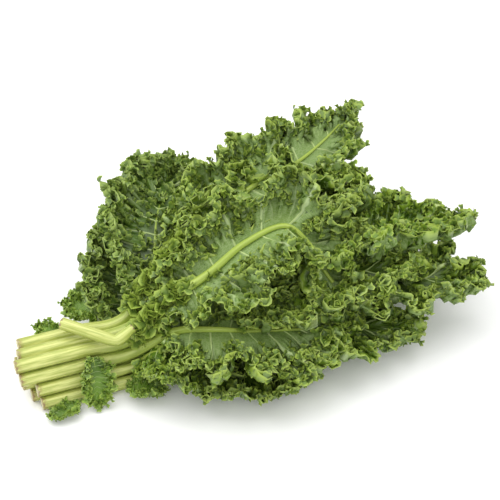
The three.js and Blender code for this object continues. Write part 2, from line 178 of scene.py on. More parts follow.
for name, leaf in LEAVES.items():
    leaf |= USUAL_LOOK | LOOKS[name]
for leaflet in LEAFLETS.values():
    leaflet |= USUAL_LOOK | dict(start=0.0, face=UP, floor=0)
SNAPPED_PATH = [(-144, 34, 53), (-132, 14, 52.5), (-120, -6, 52), (-116, -10, 52), (-100, -10, 57)]
print(len(LEAVES), "leaves and", len(LEAFLETS), "leaflets")

# %% [markdown]
# ## One curve for each stem and its midrib
# A stem runs on into its leaf as the midrib, so one smooth curve through a few points makes both. A
# Catmull-Rom curve passes through all its points and is easy to write. Its spacing by the root of
# the distance keeps it from looping where points are close together.

# %% Smooth curves
CUT_END = np.array([-188.0, 24.0, 0.0])  # middle of the cut ends, in millimetres
NECK = np.array([-88.0, -6.0, 0.0])  # where the leaves part
MIDDLE = np.array([16.0, 3.0, 0.0])  # middle of the bunch, which is the frame's origin


def unit(vectors):
    return vectors / np.maximum(np.linalg.norm(vectors, axis=-1, keepdims=True), 1e-12)


def smooth_curve(points, steps=60):
    """Close points along a smooth curve, and the length so far at each."""
    points = np.asarray(points, float)
    ends = [2 * points[0] - points[1], *points, 2 * points[-1] - points[-2]]
    t = np.linspace(0, 1, steps, endpoint=False)[:, None]
    spans = []
    for p0, p1, p2, p3 in zip(ends, ends[1:], ends[2:], ends[3:]):
        d0, d1, d2 = (math.sqrt(np.linalg.norm(b - a)) for a, b in ((p0, p1), (p1, p2), (p2, p3)))
        m1 = ((p1 - p0) / d0 - (p2 - p0) / (d0 + d1) + (p2 - p1) / d1) * d1
        m2 = ((p2 - p1) / d1 - (p3 - p1) / (d1 + d2) + (p3 - p2) / d2) * d1
        spans.append(
            (2 * t**3 - 3 * t**2 + 1) * p1 + (t**3 - 2 * t**2 + t) * m1
            + (3 * t**2 - 2 * t**3) * p2 + (t**3 - t**2) * m2
        )
    dense = np.vstack([*spans, points[-1:]])
    length = np.r_[0, np.cumsum(np.linalg.norm(np.diff(dense, axis=0), axis=1))]
    return dense, length


def at_share(curve, share):
    """The places and directions at shares of a curve's length."""
    dense, length = curve
    where = np.asarray(share) * length[-1]
    at = np.stack([np.interp(where, length, dense[:, k]) for k in range(3)], axis=-1)
    slope = np.gradient(dense, length, axis=0)
    along = np.stack([np.interp(where, length, slope[:, k]) for k in range(3)], axis=-1)
    return at, unit(along)


stem_way = unit(NECK - CUT_END)
across_way = np.array([-stem_way[1], stem_way[0], 0.0])
for leaf in LEAVES.values():
    place = leaf["slot"][0] * across_way + leaf["slot"][1] * np.array(UP)
    starts = [CUT_END + leaf["back"] * stem_way, (NECK + CUT_END) / 2, NECK + 0.12 * (CUT_END - NECK)]
    path = [p + place for p in starts] + [np.array(p, float) for p in leaf["path"]]
    leaf["curve"] = smooth_curve((np.array(path) - MIDDLE) * MM)
for leaf in LEAFLETS.values():
    leaf["curve"] = smooth_curve((np.array(leaf["path"], float) - MIDDLE) * MM)
print("stem lengths in mm:", [round(leaf["curve"][1][-1] / MM) for leaf in LEAVES.values()])

# %% [markdown]
# ## The frame along a midrib
# At every place along the rib the blade needs to know three directions: along the rib, up from the
# leaf's upper face, and to its side. The rib also gets thinner towards the tip.

# %% Directions and thickness along a rib
STEM_RADIUS = 5.8 * MM
LEAFLET_RIB = 1.2 * MM
RIB_END = 0.95  # where the rib fades out, as a share of the leaf's length


def ease(low, high, x):
    """0 below low, 1 above high and a soft step between them."""
    t = np.clip((np.asarray(x, float) - low) / (high - low), 0, 1)
    return t * t * (3 - 2 * t)


def mix(a, b, share):
    return a + (b - a) * share


def wobble(x, seed):
    """A smooth uneven wave between about -1 and 1, different for each seed."""
    return (
        0.5 * np.sin(1.7 * x + 2.3 * seed)
        + 0.3 * np.sin(3.1 * x + 4.7 * seed)
        + 0.2 * np.sin(5.3 * x + 1.9 * seed)
    )


def rib_frame(leaf, share):
    """Place, direction, facing and side of the rib at shares of its length."""
    at, along = at_share(leaf["curve"], share)
    face = np.array(leaf["face"], float)
    facing = unit(face - along * (along @ face)[..., None])
    blade = np.maximum(0, (share - leaf["start"]) / (1 - leaf["start"]))
    roll = mix(leaf["roll"][0], leaf["roll"][1], blade)[..., None]
    side = np.cross(facing, along)
    facing = facing * np.cos(roll) - side * np.sin(roll)
    return at, along, facing, np.cross(facing, along)


def rib_radius(leaf, share):
    thin = ease(leaf["start"] * 0.55, 1, share)
    return mix(leaf["radius"], leaf["rib_tip"] * MM, thin**0.62)


for number, leaf in enumerate([*LEAVES.values(), *LEAFLETS.values()], start=1):
    leaf["seed"] = number
    leaf["radius"] = STEM_RADIUS if number <= len(LEAVES) else LEAFLET_RIB
radius_08 = float(rib_radius(LEAVES["leaf_08"], 0.7)) / MM
print("rib radius at the middle of leaf_08 in mm:", round(radius_08, 2))

# %% [markdown]
# ## The frilly blade
# A kale leaf's margin grows much longer than its middle, so it folds into waves, and the waves fold
# again into smaller ones. That is how it is built here. A smooth blade is laid out on a grid that
# runs round the leaf (`turn`) and out from the rib to the margin (`out`), along the side veins. Then
# three sets of waves are added, each finer than the last and starting nearer to the margin. The finer
# two also sway sideways at twice their rate, which bends a plain wave into the round loops of a frill.

# %% Size of the folds
COLUMNS = 564  # round the leaf, where it is frilly
COARSE = 3  # columns that one column stands for near the rib, where the blade is smooth
SMOOTH_ROWS = [0.0, 0.05, 0.11, 0.17]
FRILLY_ROWS = 8
CURL_STEPS = 8
FULL_WIDTH = 70  # half width in millimetres of a blade whose large folds are full size
FLOOR_SOFTNESS = 6 * MM
BLADE_THICKNESS = 0.5 * MM
BLADE_END = 0.985  # share of the rib's length where the blade closes
FOOT_SPREAD = 1.75  # radians between the rib and the side veins at the foot of the blade
FOOT_WIDTH, TIP_WIDTH = 0.34, 0.5  # of the blade, as shares of its middle
LOBE, TOOTH, NICK = 0.1, 0.06, 0.03  # at the margin, as shares of the half width
BLADE_LIFT = 0.7  # height of the blade over the rib's axis, as a share of the rib's radius
SMOOTH_AT = (0.1, 0.35, 0.6)  # shares of the blade's length where `smooth` gives its three values
# Each set of waves: how many on each side of the leaf, height in millimetres, where it starts and is
# full between rib and margin, how far it sways, and whether it follows the leaf's own ruffle.
WAVES = [
    dict(count=7, height=10, grows=(0.05, 0.65), sway=0.0, own=1.0, slant=0.5),
    dict(count=17, height=4.0, grows=(0.12, 0.75), sway=0.2, own=0.7, slant=1.0),
    dict(count=42, height=2.7, grows=(0.15, 0.6), sway=0.35, own=0.1, slant=2.5),
]


def plain_blade(leaf, turn, out):
    """The blade before its waves, as a grid of places."""
    left = turn <= 1
    u = np.where(left, turn, 2 - turn)
    share = mix(leaf["start"], BLADE_END, u**0.9)
    at, along, facing, side = rib_frame(leaf, share)
    angle = (FOOT_SPREAD * (1 - u) ** 0.62)[..., None]
    direction = along * np.cos(angle) + side * np.sin(angle) * np.where(left, 1, -1)[..., None]
    seed = leaf["seed"]
    fullness = mix(FOOT_WIDTH, 1, ease(0, 0.3, u)) * mix(1, TIP_WIDTH, ease(0.55, 1, u))
    lobe = LOBE * np.cos(2 * np.pi * WAVES[0]["count"] * u + seed)
    tooth = (TOOTH * wobble(95 * u, seed + 5) + NICK * np.sin(330 * u)) * ease(0.7, 1, out)
    length = leaf["width"] * MM * fullness * (1 + lobe + tooth)
    cup = np.where(left, *leaf["cup"]) * (1 + 0.5 * wobble(6 * u, seed))
    uneven = 1 + 0.35 * wobble(11 * turn, seed + 3)
    curl = np.where(left, *leaf["rim"]) * leaf["curl"] * uneven
    reach, rise = 0.0, 0.0
    for i in range(CURL_STEPS):
        t = out * (i + 0.5) / CURL_STEPS
        bend = cup * ease(0.08, 0.6, t) + curl * ease(0.35, 1, t)
        reach = reach + np.cos(bend) * length * out / CURL_STEPS
        rise = rise + np.sin(bend) * length * out / CURL_STEPS
    lift = BLADE_LIFT * rib_radius(leaf, share)
    return at + direction * reach[..., None] + facing * (rise + lift)[..., None]


def facings(surface):
    """The way that a grid faces at each of its places."""
    return unit(np.cross(np.gradient(surface, axis=1), np.gradient(surface, axis=0)))


def waved(surface, leaf, wave, turn, out):
    """The surface with one more set of waves, and the height of the wave at each place."""
    small = min(1.0, leaf["width"] / FULL_WIDTH)
    count = wave["count"] * mix(0.35, 1, ease(8, 50, leaf["width"]))
    size = mix(1, leaf["ruffle"], wave["own"]) * mix(1, small, 0.7 if wave["own"] < 1 else 1)
    seed = leaf["seed"] + wave["count"]
    uneven = 1 + 0.4 * wobble(1.2 * wave["count"] * turn, seed + 7)
    phase = np.pi * (2 * count * turn + 0.5) + 0.9 * wobble(0.8 * wave["count"] * turn + 3 * out, seed)
    phase = phase + wave["slant"] * wobble(7 * out + 3 * wobble(9 * turn, seed), seed + 1)
    height = wave["height"] * MM * size * uneven * ease(*wave["grows"], out)
    sway = -wave["sway"] * height * np.sin(2 * phase)
    along = unit(np.gradient(surface, axis=1))
    moved = surface + facings(surface) * (height * np.sin(phase))[..., None] + along * sway[..., None]
    return moved, height * np.sin(phase)


def blade_grid(leaf, columns, frilly_rows):
    """All waves of a blade, settled on what lies below it, and how far each place is a crest."""
    rows = np.r_[SMOOTH_ROWS, np.linspace(SMOOTH_ROWS[-1], 1, frilly_rows + 1)[1:]]
    turn, out = np.meshgrid(np.linspace(0, 2, columns + 1), rows)
    surface = plain_blade(leaf, turn, out)
    crest = 0.0
    for wave in WAVES:
        surface, height = waved(surface, leaf, wave, turn, out)
        crest = crest + height / (wave["height"] * MM)
    floor = leaf["floor"] * MM + BLADE_THICKNESS / 2
    above = surface[..., 2] - floor - FLOOR_SOFTNESS
    eased = floor + FLOOR_SOFTNESS * np.exp(np.minimum(above, 0) / FLOOR_SOFTNESS)
    surface[..., 2] = np.where(above >= 0, surface[..., 2], eased)
    return surface, crest, turn, out


print("waves on each side of a leaf:", [wave["count"] for wave in WAVES])

# %% [markdown]
# ## From a grid to a closed leaf
# A leaf is thin but it isn't a single sheet. The grid is offset to both sides and closed along the
# margin, so that it is solid, casts clean shadows and can show a different underside. The two halves
# share their points at the rib. Each face keeps its place in the grid as a UV map, which lets the
# material draw the veins from the rib to the margin.

# %% Blade meshes


def put_in_scene(name, data):
    made = bpy.data.objects.new(name, data)
    bpy.context.collection.objects.link(made)
    return made


def mark(mesh, **marks):
    """Keep numbers at a mesh's points, under their names, for the trees and materials."""
    for key, values in marks.items():
        values = np.asarray(values, np.float32)
        mesh.attributes.new(key, "FLOAT", "POINT").data.foreach_set("value", values)


def grid_faces(columns, rows):
    """The faces of a blade as rows and columns of its grid, with wide ones near the rib."""
    smooth = len(SMOOTH_ROWS) - 1
    faces = []
    for row in range(rows):
        step = COARSE if row <= smooth else 1
        for left in range(0, columns, step):
            right = left + step
            if row == smooth:  # one wide edge below, several narrow ones above
                above = [(row + 1, c) for c in range(right, left - 1, -1)]
                faces.append([(row, left), (row, right), *above])
            else:
                faces.append([(row, left), (row, right), (row + 1, right), (row + 1, left)])
    return faces


def closed_blade(name, leaf, columns=COLUMNS, frilly_rows=FRILLY_ROWS):
    """A blade as a closed object. The leaf keeps its grid, for the veins."""
    surface, crest, turn, out = blade_grid(leaf, columns, frilly_rows)
    rows = len(surface) - 1
    facing = facings(surface)
    facing[0] = unit(facing[0] + facing[0, ::-1])
    column = np.arange(columns + 1)
    used = (np.arange(rows + 1)[:, None] >= len(SMOOTH_ROWS)) | (column % COARSE == 0)
    used[0] &= column <= columns // 2  # both halves share their points at the rib
    ids = np.cumsum(used).reshape(used.shape) - 1
    ids[0] = np.where(column > columns // 2, ids[0, ::-1], ids[0])
    middle, facing, crest = surface[used], facing[used], crest[used]
    count = len(middle)
    places = np.vstack([middle + facing * BLADE_THICKNESS / 2, middle - facing * BLADE_THICKNESS / 2])
    front = grid_faces(columns, rows)
    rim = [[(rows, c + 1), (rows, c)] for c in range(columns)]
    rim += [[(r + 1, 0), (r, 0)] for r in range(rows)]
    rim += [[(r, columns), (r + 1, columns)] for r in range(rows)]
    faces = [[ids[corner] for corner in face] for face in front]
    faces += [[ids[corner] + count for corner in reversed(face)] for face in front]
    faces += [[ids[q], ids[p], ids[p] + count, ids[q] + count] for p, q in rim]
    corners = [corner for face in front for corner in face]
    corners += [corner for face in front for corner in reversed(face)]
    corners += [corner for p, q in rim for corner in (q, p, p, q)]
    row, column = np.array(corners).T
    uv = np.stack([turn[row, column] / 2, out[row, column]], -1)
    mesh = bpy.data.meshes.new(name)
    mesh.from_pydata(places.tolist(), [], faces)
    mesh.uv_layers.new(name="leaf").data.foreach_set("uv", uv.reshape(-1).astype(np.float32))
    mesh.shade_smooth()
    reach = np.tile(out[used], 2)
    shown = np.repeat([leaf["face"] == UP, leaf["face"] == DOWN], count)  # the side that faces up
    share = np.tile(np.minimum(turn, 2 - turn)[used], 2)
    smooth = np.interp(share, SMOOTH_AT, np.broadcast_to(leaf["smooth"], 3))
    frill = ease(0, 0.2, reach - smooth) * shown
    # `crest` drives the painted highlight on the crests and the painted shade between the folds.
    mark(mesh, under=np.repeat([0.0, 1.0], count), crest=np.tile(crest, 2), frill=frill)
    leaf["grid"], leaf["rows"] = surface, out[:, 0]
    return put_in_scene(name, mesh)


SMALL_BLADE = dict(columns=240, frilly_rows=7)
blades = {name: closed_blade(f"{name}_blade_fine", leaf) for name, leaf in LEAVES.items()}
leaflets = {name: closed_blade(f"{name}_fine", leaf, **SMALL_BLADE) for name, leaf in LEAFLETS.items()}
print("faces of all blades:", sum(len(o.data.polygons) for o in [*blades.values(), *leaflets.values()]))

# %% [markdown]
# ## Stems, ribs and veins from paths
# A stem, a midrib and a side vein are all tubes along a path that get thinner. One Geometry Nodes
# tree makes them: it turns lines of points into curves, takes the thickness from each point, and
# sweeps a ring with lengthwise ridges along them. It is kept as a tree, because the same rule serves
# a stem with ridges and a hair-thin vein.

# %% A tree that sweeps ridged tubes
SOCKETS = {
    "Ring sides": ("NodeSocketInt", 18),
    "Ridges": ("NodeSocketFloat", 6.0),
    "Ridge depth": ("NodeSocketFloat", 0.09),
    "Finish": ("NodeSocketMaterial", None),
}


def new_tree(title, sockets):
    """A tree with a shape coming in and one going out, and a function that adds a node to it."""
    tree = bpy.data.node_groups.new(title, "GeometryNodeTree")
    tree.interface.new_socket("Shape", in_out="INPUT", socket_type="NodeSocketGeometry")
    for name, (kind, value) in sockets.items():
        socket = tree.interface.new_socket(name, in_out="INPUT", socket_type=kind)
        if value is not None:
            socket.default_value = value
    tree.interface.new_socket("Result", in_out="OUTPUT", socket_type="NodeSocketGeometry")

    def add(kind, links=(), **settings):
        node = tree.nodes.new(kind)
        for key, value in settings.items():
            setattr(node, key, value)
        for key, value in dict(links).items():
            for source in value if isinstance(value, list) else [value]:
                if isinstance(source, bpy.types.NodeSocket):
                    tree.links.new(source, node.inputs[key])
                else:
                    node.inputs[key].default_value = source
        return node

    return tree, add


def run_tree(tree, source, name, sockets, values):
    """The plain mesh object that a tree makes of a source object, which goes."""
    modifier = source.modifiers.new("tree", "NODES")
    modifier.node_group = tree
    identifiers = {i.name: i.identifier for i in tree.interface.items_tree if i.in_out == "INPUT"}
    for title, (_, value) in sockets.items():
        modifier[identifiers[title]] = values.get(title, value)
    graph = bpy.context.evaluated_depsgraph_get()
    made = bpy.data.meshes.new_from_object(
        source.evaluated_get(graph), preserve_all_data_layers=True, depsgraph=graph
    )
    bpy.data.objects.remove(source)
    made.name = name
    made.shade_smooth()
    return put_in_scene(name, made)


def tube_tree():
    """Rings swept along lines, as thick as the lines' points say."""
    tree, add = new_tree("ridged tubes", SOCKETS)
    given = add("NodeGroupInput").outputs
    place = add("GeometryNodeInputPosition").outputs[0]
    xyz = add("ShaderNodeSeparateXYZ", {0: place}).outputs
    angle = add("ShaderNodeMath", {0: xyz[1], 1: xyz[0]}, operation="ARCTAN2").outputs[0]
    turned = add("ShaderNodeMath", {0: angle, 1: given["Ridges"]}, operation="MULTIPLY").outputs[0]
    wave = add("ShaderNodeMath", {0: turned}, operation="COSINE").outputs[0]
    depth = add("ShaderNodeMath", {0: wave, 1: given["Ridge depth"]}, operation="MULTIPLY").outputs[0]
    push = add("ShaderNodeVectorMath", {0: place, "Scale": depth}, operation="SCALE").outputs[0]
    ring = add("GeometryNodeCurvePrimitiveCircle", {"Resolution": given["Ring sides"], "Radius": 1.0})
    named = add(
        "GeometryNodeStoreNamedAttribute",
        {"Geometry": ring.outputs["Curve"], "Name": "ring", "Value": place},
        data_type="FLOAT_VECTOR", domain="POINT",
    )
    ridged = add("GeometryNodeSetPosition", {"Geometry": named.outputs[0], "Offset": push})
    radius = add("GeometryNodeInputNamedAttribute", {"Name": "thickness"}, data_type="FLOAT").outputs[0]
    lines = add("GeometryNodeMeshToCurve", {"Mesh": given["Shape"]}).outputs[0]
    sized = add("GeometryNodeSetCurveRadius", {"Curve": lines, "Radius": radius}).outputs[0]
    swept = add(
        "GeometryNodeCurveToMesh",
        {"Curve": sized, "Profile Curve": ridged.outputs[0], "Scale": radius, "Fill Caps": True},
    )
    real = add("GeometryNodeRealizeInstances", {0: swept.outputs[0]})
    done = add("GeometryNodeSetMaterial", {"Geometry": real.outputs[0], "Material": given["Finish"]})
    tree.links.new(done.outputs[0], add("NodeGroupOutput").inputs[0])
    return tree


TUBES = tube_tree()


def tubes(name, lines, finish, **inputs):
    """A mesh object swept along lines, each given as places, thicknesses and lengths so far."""
    places, edges, thickness, along = [], [], [], []
    for points, radii, lengths in lines:
        edges += [(len(places) + i, len(places) + i + 1) for i in range(len(points) - 1)]
        places += points.tolist()
        thickness += list(radii)
        along += list(lengths)
    mesh = bpy.data.meshes.new(name)
    mesh.from_pydata(places, edges, [])
    mark(mesh, thickness=thickness, along=along)
    source = put_in_scene(name + " lines", mesh)
    piece = run_tree(TUBES, source, name, SOCKETS, {**inputs, "Finish": finish})
    co = np.zeros(3 * len(piece.data.vertices), np.float32)
    piece.data.vertices.foreach_get("co", co)
    co[2::3] = np.maximum(co[2::3], 0)  # nothing sinks into the table
    piece.data.vertices.foreach_set("co", co)
    return piece


print("inputs of the tree:", list(SOCKETS))

# %% [markdown]
# ## Writing materials as formulas
# A material's nodes are easier to read as formulas. `Value` wraps a socket, so that `1 - mask` or
# `veins * 0.5` adds the Math nodes for it. `Finish` opens a material and adds any other node.

# %% Helpers for materials


class Value:
    """A socket that Python's operators work on."""

    def __init__(self, finish, socket):
        self.finish, self.socket = finish, socket

    def __add__(self, other):
        return self.finish.maths("ADD", self, other)

    def __sub__(self, other):
        return self.finish.maths("SUBTRACT", self, other)

    def __rsub__(self, other):
        return self.finish.maths("SUBTRACT", other, self)

    def __mul__(self, other):
        return self.finish.maths("MULTIPLY", self, other)

    def __abs__(self):
        return self.finish.maths("ABSOLUTE", self)


class Finish:
    """A material and its nodes."""

    def __init__(self, name):
        self.material = bpy.data.materials.new(name)
        self.material.use_nodes = True
        self.tree = self.material.node_tree
        self.surface = next(n for n in self.tree.nodes if n.type == "BSDF_PRINCIPLED")

    def put(self, socket, value):
        if isinstance(value, Value):
            self.tree.links.new(value.socket, socket)
        elif value is not None:
            socket.default_value = value

    def node(self, kind, settings=None, output=0, **sockets):
        made = self.tree.nodes.new(kind)
        for key, value in (settings or {}).items():
            setattr(made, key, value)
        for key, value in sockets.items():
            self.put(made.inputs[int(key[1:]) if key[1:].isdigit() else key.replace("_", " ")], value)
        return Value(self, made.outputs[output])

    def maths(self, operation, a, b=None):
        return self.node("ShaderNodeMath", {"operation": operation}, i0=a, i1=b)

    def soft_step(self, value, low, high):
        settings = {"interpolation_type": "SMOOTHSTEP"}
        return self.node("ShaderNodeMapRange", settings, i0=value, i1=low, i2=high)

    def blend(self, share, a, b):
        settings = {"data_type": "RGBA"}
        return self.node("ShaderNodeMix", settings, output=2, i0=share, i6=a, i7=b)

    def attribute(self, name, output=2):
        return self.node("ShaderNodeAttribute", {"attribute_name": name}, output=output)

    def use(self, **sockets):
        for key, value in sockets.items():
            self.put(self.surface.inputs[key.replace("_", " ")], value)
        return self.material


def colour(red, green, blue):
    """A screen colour (0 to 255) as the light values that nodes use."""
    parts = np.array([red, green, blue]) / 255
    return (*np.where(parts <= 0.04045, parts / 12.92, ((parts + 0.055) / 1.055) ** 2.4), 1.0)


print("a screen grey of 128 is", round(float(colour(128, 128, 128)[0]), 3), "as light")

# %% [markdown]
# ## The leaf's own colours
# The upper face is a waxy green. It is painted lighter on the crests of the folds, a painted
# highlight, and so darker between them, as painted shade, and it is painted paler and yellower at the
# frilled margin, a painted highlight on the edges. The underside is a dull grey-green with raised
# whitish veins, with the same painted highlight at its margin. Side veins run from the rib to the
# margin, so they are stripes across the grid's first direction, and smaller ones branch between
# them. A Voronoi pattern gives the fine net between the veins, as colour and as a bump.

# %% Blade material
VEINS = 9  # on each side of a leaf
BETWEEN_VEINS = 0.5 / VEINS  # a place round the leaf, midway between two side veins
# `light` is a painted highlight on the crests of the folds and also the colour of the fine vein net;
# `rim` is a painted highlight along the frilled margin.
TONES = {
    "deep": dict(dark=(31, 54, 14), mid=(71, 104, 26), light=(136, 162, 66), rim=(166, 188, 84)),
    "mid": dict(dark=(31, 56, 9), mid=(77, 110, 20), light=(140, 167, 54), rim=(172, 193, 80)),
    "bright": dict(dark=(38, 68, 9), mid=(84, 121, 17), light=(132, 162, 38), rim=(166, 188, 70)),
    "young": dict(dark=(56, 92, 16), mid=(108, 146, 34), light=(150, 180, 62), rim=(172, 196, 84)),
}
UNDER = dict(dark=(86, 116, 46), light=(130, 155, 76))
PALE_VEIN = colour(196, 210, 150)
WHITE_VEIN = colour(178, 196, 142)


def stripes(finish, along, out, count, wide, narrow):
    """Soft lines at even places along the rib, wide at the rib and narrow at the margin."""
    part = finish.maths("FRACT", along * count)
    away = abs(part - 0.5)
    width = (1 - out) * (wide - narrow) * count + narrow * count
    return 1 - finish.soft_step(finish.maths("DIVIDE", away, width), 0.5, 1.2)


def blade_finish(tone):
    shades = {key: colour(*value) for key, value in TONES[tone].items()}
    finish = Finish(f"kale blade {tone}")
    spot = finish.node("ShaderNodeTexCoord", output=3)
    uv = finish.node("ShaderNodeUVMap", {"uv_map": "leaf"})
    turn = finish.node("ShaderNodeSeparateXYZ", i0=uv)
    out = finish.node("ShaderNodeSeparateXYZ", output=1, i0=uv)
    along = 1 - abs(turn * 2 - 1)
    under = finish.attribute("under")
    crest = finish.attribute("crest")
    patch = finish.node("ShaderNodeTexNoise", Vector=spot, Scale=26.0, Detail=4.0)
    main = stripes(finish, along, out, VEINS, 0.005, 0.0015)
    branch = stripes(finish, along + out * 0.02, out, VEINS * 4, 0.002, 0.0009)
    branch = branch * finish.soft_step(out, 0.1, 0.45) * 0.5
    veins = finish.maths("MAXIMUM", main, branch)
    cells = finish.node("ShaderNodeVectorMath", {"operation": "MULTIPLY"}, i0=uv, i1=(110.0, 26.0, 1.0))
    net = finish.node("ShaderNodeTexVoronoi", {"feature": "DISTANCE_TO_EDGE"}, Vector=cells, Scale=1.0)
    net = 1 - finish.soft_step(net, 0.0, 0.16)
    top = finish.blend(finish.soft_step(patch, 0.32, 0.66), shades["dark"], shades["mid"])
    # Painted highlight on the crests of the folds; the troughs between them stay darker, as painted
    # shade.
    top = finish.blend(finish.soft_step(crest, -0.6, 2.2) * 0.75, top, shades["light"])
    # Painted highlight along the frilled margin, paler and yellower.
    top = finish.blend(finish.soft_step(out, 0.9, 1.0) * 0.75, top, shades["rim"])
    top = finish.blend(net * 0.12, top, shades["light"])
    top = finish.blend(veins * 0.5, top, PALE_VEIN)
    below = finish.blend(patch, colour(*UNDER["dark"]), colour(*UNDER["light"]))
    below = finish.blend(net * 0.25, below, WHITE_VEIN)
    below = finish.blend(veins * 0.7, below, WHITE_VEIN)
    # The same painted highlight along the margin of the underside.
    below = finish.blend(finish.soft_step(out, 0.9, 1.0) * 0.6, below, shades["rim"])
    height = net * -0.25 + (veins * under * 2 - veins * 0.6) + patch * 0.5
    bump = finish.node("ShaderNodeBump", Strength=0.5, Distance=0.5 * MM, Height=height)
    return finish.use(
        Base_Color=finish.blend(under, top, below), Roughness=under * 0.18 + 0.4, Normal=bump,
        Coat_Weight=0.06, Coat_Roughness=0.35,
    )


blade_finishes = {tone: blade_finish(tone) for tone in TONES}
print("blade materials:", list(blade_finishes))

# %% [markdown]
# ## The smallest curls
# The margin of curly kale folds so often that the outer part of a blade is covered by curls only a
# few millimetres wide. Folding one grid that finely would take millions of faces. Here a second
# Geometry Nodes tree scatters one small crinkled flake over the frilly part of each blade, turned
# and sized at random from a fixed seed, and joins them to it.

# %% One crinkled flake
FLAKE_ACROSS, FLAKE_UP = 4, 2  # faces
FLAKE_BASE, FLAKE_WIDTH, FLAKE_HEIGHT = 1.3 * MM, 3.9 * MM, 5.0 * MM
FLAKE_FOLD, FLAKE_LEAN, FLAKE_THICKNESS = 1.3 * MM, 2.4 * MM, 0.6 * MM
FLAKE_SINK = 0.6 * MM


def flake_object():
    """Two crinkled sheets that share their edge and part a little in the middle."""
    across, up = np.meshgrid(np.linspace(-1, 1, FLAKE_ACROSS + 1), np.linspace(0, 1, FLAKE_UP + 1))
    y = across * mix(FLAKE_BASE, FLAKE_WIDTH, up)
    x = FLAKE_FOLD * np.sin(1.5 * np.pi * across + 0.6) * up + FLAKE_LEAN * up**2
    corner = 0.28 * across**4 * up  # its outer corners are lower, which makes it round
    z = FLAKE_HEIGHT * up * (1 - 0.15 * np.cos(2.6 * np.pi * across) * up - corner) - FLAKE_SINK
    sheet = np.stack([x, y, z], -1)
    inside = (np.abs(across) < 1) & (up > 0) & (up < 1)
    offset = facings(sheet) * (inside * FLAKE_THICKNESS / 2)[..., None]
    count = across.size
    ids = np.arange(count).reshape(across.shape)
    back_ids = np.where(inside, count - 1 + np.cumsum(inside).reshape(inside.shape), ids)
    places = np.vstack([(sheet + offset).reshape(-1, 3), (sheet - offset)[inside]])
    cells = [(r, c) for r in range(FLAKE_UP) for c in range(FLAKE_ACROSS)]
    corners = [[(r, c), (r, c + 1), (r + 1, c + 1), (r + 1, c)] for r, c in cells]
    faces = [[ids[corner] for corner in face] for face in corners]
    faces += [[back_ids[corner] for corner in reversed(face)] for face in corners]
    mesh = bpy.data.meshes.new("flake")
    mesh.from_pydata(places.tolist(), [], faces)
    height = np.r_[up.reshape(-1), up[inside]]
    under = np.r_[np.full(count, 0.2), np.full(inside.sum(), 0.5)]
    # `crest` paints each flake lighter at its tip and darker at its foot, a painted highlight and painted
    # shade.
    mark(mesh, under=under, crest=mix(-0.5, 1.6, height), frill=0 * height)
    # The second UV value reaches the margin at the tip, so the tip also takes the margin's painted
    # highlight.
    rim = mix(0.7, 1.0, height)
    uv = [(BETWEEN_VEINS, rim[loop.vertex_index]) for loop in mesh.loops]
    mesh.uv_layers.new(name="leaf").data.foreach_set("uv", np.array(uv, np.float32).reshape(-1))
    mesh.shade_smooth()
    mesh.set_sharp_from_angle(angle=math.radians(120))
    return bpy.data.objects.new("flake", mesh)


flake = flake_object()
print("faces of a flake:", len(flake.data.polygons))

# %% [markdown]
# ## Scattering the curls
# The tree spreads points over the shape, densest where `frill` is 1, and puts a flake on each. A flake
# stands up from the blade, tilted and turned at random. The result is one mesh with the blade.

# %% A tree that scatters the flakes
FLAKES_PER_AREA = 28500.0  # in a square metre where a blade is fully frilled
SCATTER = {
    "Flake": ("NodeSocketObject", None),
    "Flakes per square metre": ("NodeSocketFloat", FLAKES_PER_AREA),
    "Smallest": ("NodeSocketFloat", 0.55),
    "Largest": ("NodeSocketFloat", 1.25),
    "Seed": ("NodeSocketInt", 1),
    "Finish": ("NodeSocketMaterial", None),
}
TILT = 0.5  # radians either way


def flake_tree():
    """Flakes scattered over a shape and joined to it."""
    tree, add = new_tree("scattered flakes", SCATTER)
    given = add("NodeGroupInput").outputs
    frill = add("GeometryNodeInputNamedAttribute", {"Name": "frill"}, data_type="FLOAT").outputs[0]
    dense = add("ShaderNodeMath", {0: frill, 1: given["Flakes per square metre"]}, operation="MULTIPLY")
    spread = add(
        "GeometryNodeDistributePointsOnFaces",
        {"Mesh": given["Shape"], "Density": dense.outputs[0], "Seed": given["Seed"]},
    )
    turn = add(
        "FunctionNodeRandomValue",
        {"Min": (-TILT, -TILT, 0.0), "Max": (TILT, TILT, 2 * math.pi), "Seed": given["Seed"]},
        data_type="FLOAT_VECTOR",
    )
    euler = add("FunctionNodeEulerToRotation", {0: turn.outputs[0]})
    turned = add(
        "FunctionNodeRotateRotation",
        {"Rotation": spread.outputs["Rotation"], "Rotate By": euler.outputs[0]},
        rotation_space="LOCAL",
    )
    size = add("FunctionNodeRandomValue", {"Seed": given["Seed"]}, data_type="FLOAT")
    for socket in size.inputs:
        if socket.enabled and socket.name in ("Min", "Max"):
            tree.links.new(given["Smallest" if socket.name == "Min" else "Largest"], socket)
    scale = next(o for o in size.outputs if o.enabled)
    shape = add("GeometryNodeObjectInfo", {"Object": given["Flake"]}).outputs["Geometry"]
    placed = add(
        "GeometryNodeInstanceOnPoints",
        {
            "Points": spread.outputs["Points"],
            "Instance": shape,
            "Rotation": turned.outputs[0],
            "Scale": scale,
        },
    )
    real = add("GeometryNodeRealizeInstances", {0: placed.outputs[0]})
    whole = add("GeometryNodeJoinGeometry", {0: [given["Shape"], real.outputs[0]]})
    done = add("GeometryNodeSetMaterial", {"Geometry": whole.outputs[0], "Material": given["Finish"]})
    tree.links.new(done.outputs[0], add("NodeGroupOutput").inputs[0])
    return tree


